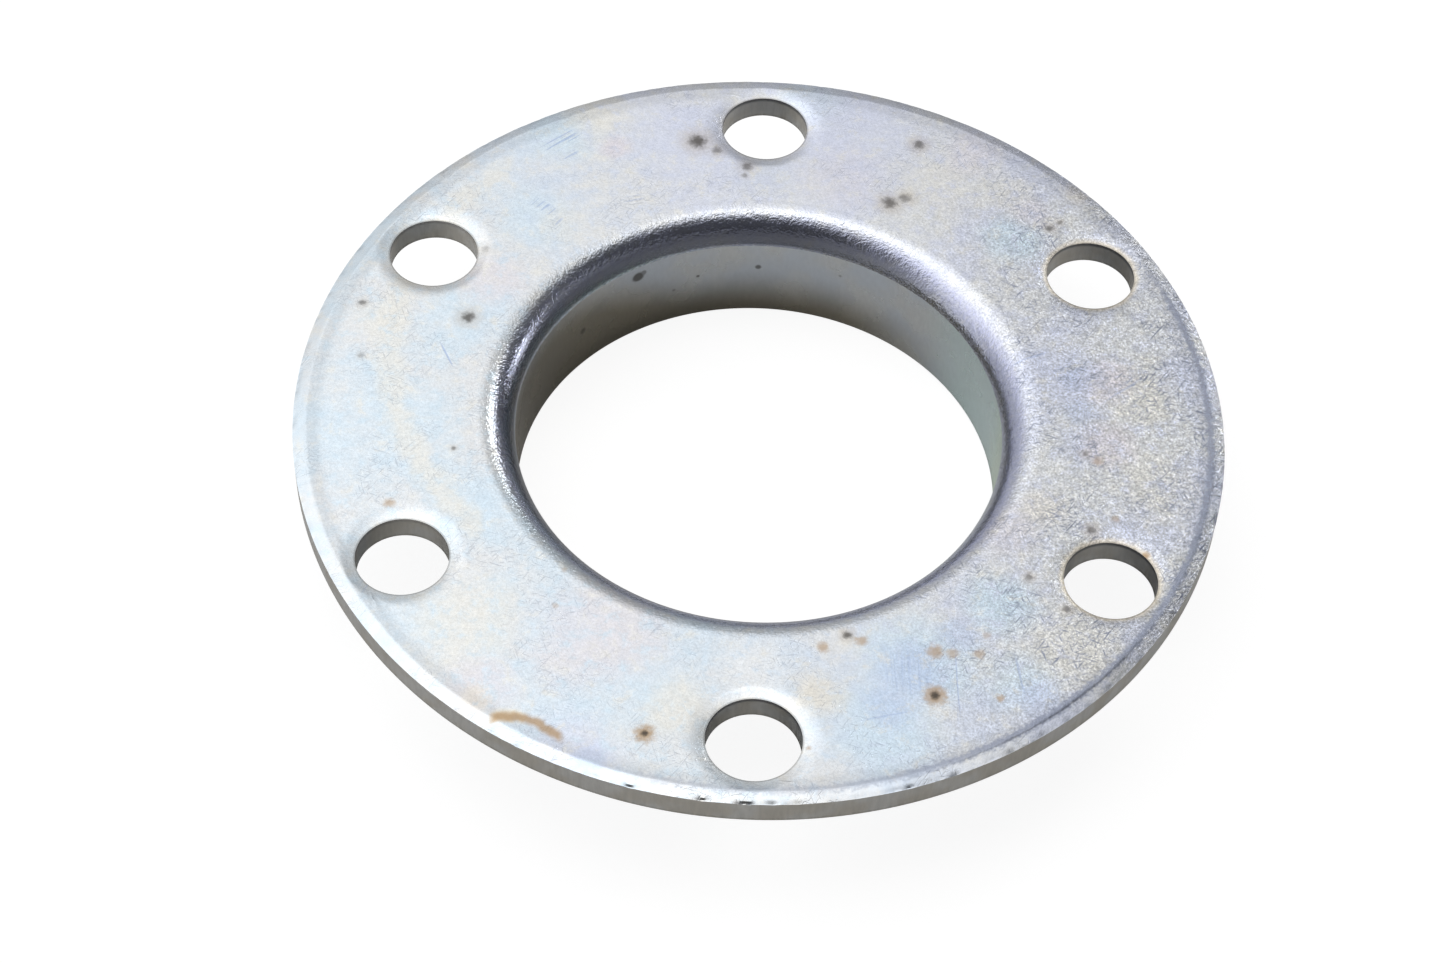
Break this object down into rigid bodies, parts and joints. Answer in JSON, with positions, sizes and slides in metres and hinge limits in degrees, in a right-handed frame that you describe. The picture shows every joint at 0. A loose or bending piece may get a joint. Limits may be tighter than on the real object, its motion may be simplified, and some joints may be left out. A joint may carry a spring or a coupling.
{
  "type": "pressed neck flange",
  "caption": "Round pressed sheet-steel flange with a ring of bolt holes and an open bore whose edge is drawn down into a short straight neck.",
  "frame": {"origin": "centre of the bore, in the plane of the neck's trimmed end", "axes": "+Z along the bore axis, from the neck's trimmed end up to the plate's upper face; one bolt hole lies on +Y"},
  "size_m": [0.092, 0.092, 0.0127],
  "materials": {
    "zinc_plated_steel": "bright zinc plating with a clear blue passivate, satin, lightly spotted and scratched"
  },
  "bodies": {
    "root": {"pressed_flange": "zinc_plated_steel"}
  },
  "joints": []
}
